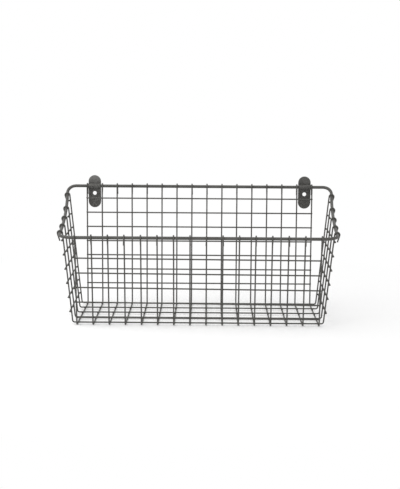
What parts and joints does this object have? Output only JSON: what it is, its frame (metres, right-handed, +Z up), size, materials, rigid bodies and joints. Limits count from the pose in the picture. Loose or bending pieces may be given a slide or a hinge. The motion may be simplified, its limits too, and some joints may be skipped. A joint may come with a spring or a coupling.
{
  "type": "wire wall basket",
  "caption": "Open wire storage basket with a high back and a low front, hung from its back rim by strap brackets that clip round the rim wire and take a wall screw each.",
  "frame": {"origin": "under the middle of the bounding box, on the surface that the basket's floor wires stand on", "axes": "+X along the wall, +Y from the low front to the wall side, +Z up"},
  "size_m": [0.3952, 0.188, 0.1913],
  "materials": {
    "wire_coating": "dark warm grey powder coat on steel wire, satin, with a faint metallic grain",
    "strap_coating": "dark grey powder coat on bent steel strap, satin, slightly lighter than the wires"
  },
  "bodies": {
    "basket": {"rim": "wire_coating", "long_wire_01": "wire_coating", "long_wire_02": "wire_coating", "long_wire_03": "wire_coating", "long_wire_04": "wire_coating", "long_wire_05": "wire_coating", "long_wire_06": "wire_coating", "long_wire_07": "wire_coating", "long_wire_08": "wire_coating", "long_wire_09": "wire_coating", "long_wire_10": "wire_coating", "long_wire_11": "wire_coating", "long_wire_12": "wire_coating", "long_wire_13": "wire_coating", "long_wire_14": "wire_coating", "long_wire_15": "wire_coating", "long_wire_16": "wire_coating", "cross_wire_1": "wire_coating", "cross_wire_2": "wire_coating", "cross_wire_3": "wire_coating", "cross_wire_4": "wire_coating", "cross_wire_5": "wire_coating", "back_rod_1": "wire_coating", "back_rod_2": "wire_coating", "back_rod_3": "wire_coating", "back_rod_4": "wire_coating", "back_rod_5": "wire_coating", "back_rod_6": "wire_coating", "back_rod_7": "wire_coating", "front_rod_1": "wire_coating", "front_rod_2": "wire_coating", "front_rod_3": "wire_coating", "front_rod_4": "wire_coating", "front_rod_5": "wire_coating", "left_side_rod_1": "wire_coating", "left_side_rod_2": "wire_coating", "left_side_rod_3": "wire_coating", "left_side_rod_4": "wire_coating", "left_side_rod_5": "wire_coating", "left_side_rod_6": "wire_coating", "left_side_rod_7": "wire_coating", "left_side_rod_8": "wire_coating", "right_side_rod_1": "wire_coating", "right_side_rod_2": "wire_coating", "right_side_rod_3": "wire_coating", "right_side_rod_4": "wire_coating", "right_side_rod_5": "wire_coating", "right_side_rod_6": "wire_coating", "right_side_rod_7": "wire_coating", "right_side_rod_8": "wire_coating"},
    "left_bracket": {"left_bracket": "strap_coating"},
    "right_bracket": {"right_bracket": "strap_coating"}
  },
  "joints": [
    {"name": "left_bracket_hinge", "type": "hinge", "parent": "basket", "child": "left_bracket", "pos_m": [-0.1545, 0.08915, 0.1758], "axis": [1, 0, 0], "range_deg": [-26, 320]},
    {"name": "right_bracket_hinge", "type": "hinge", "parent": "basket", "child": "right_bracket", "pos_m": [0.1545, 0.08915, 0.1758], "axis": [1, 0, 0], "range_deg": [-26, 320]}
  ]
}
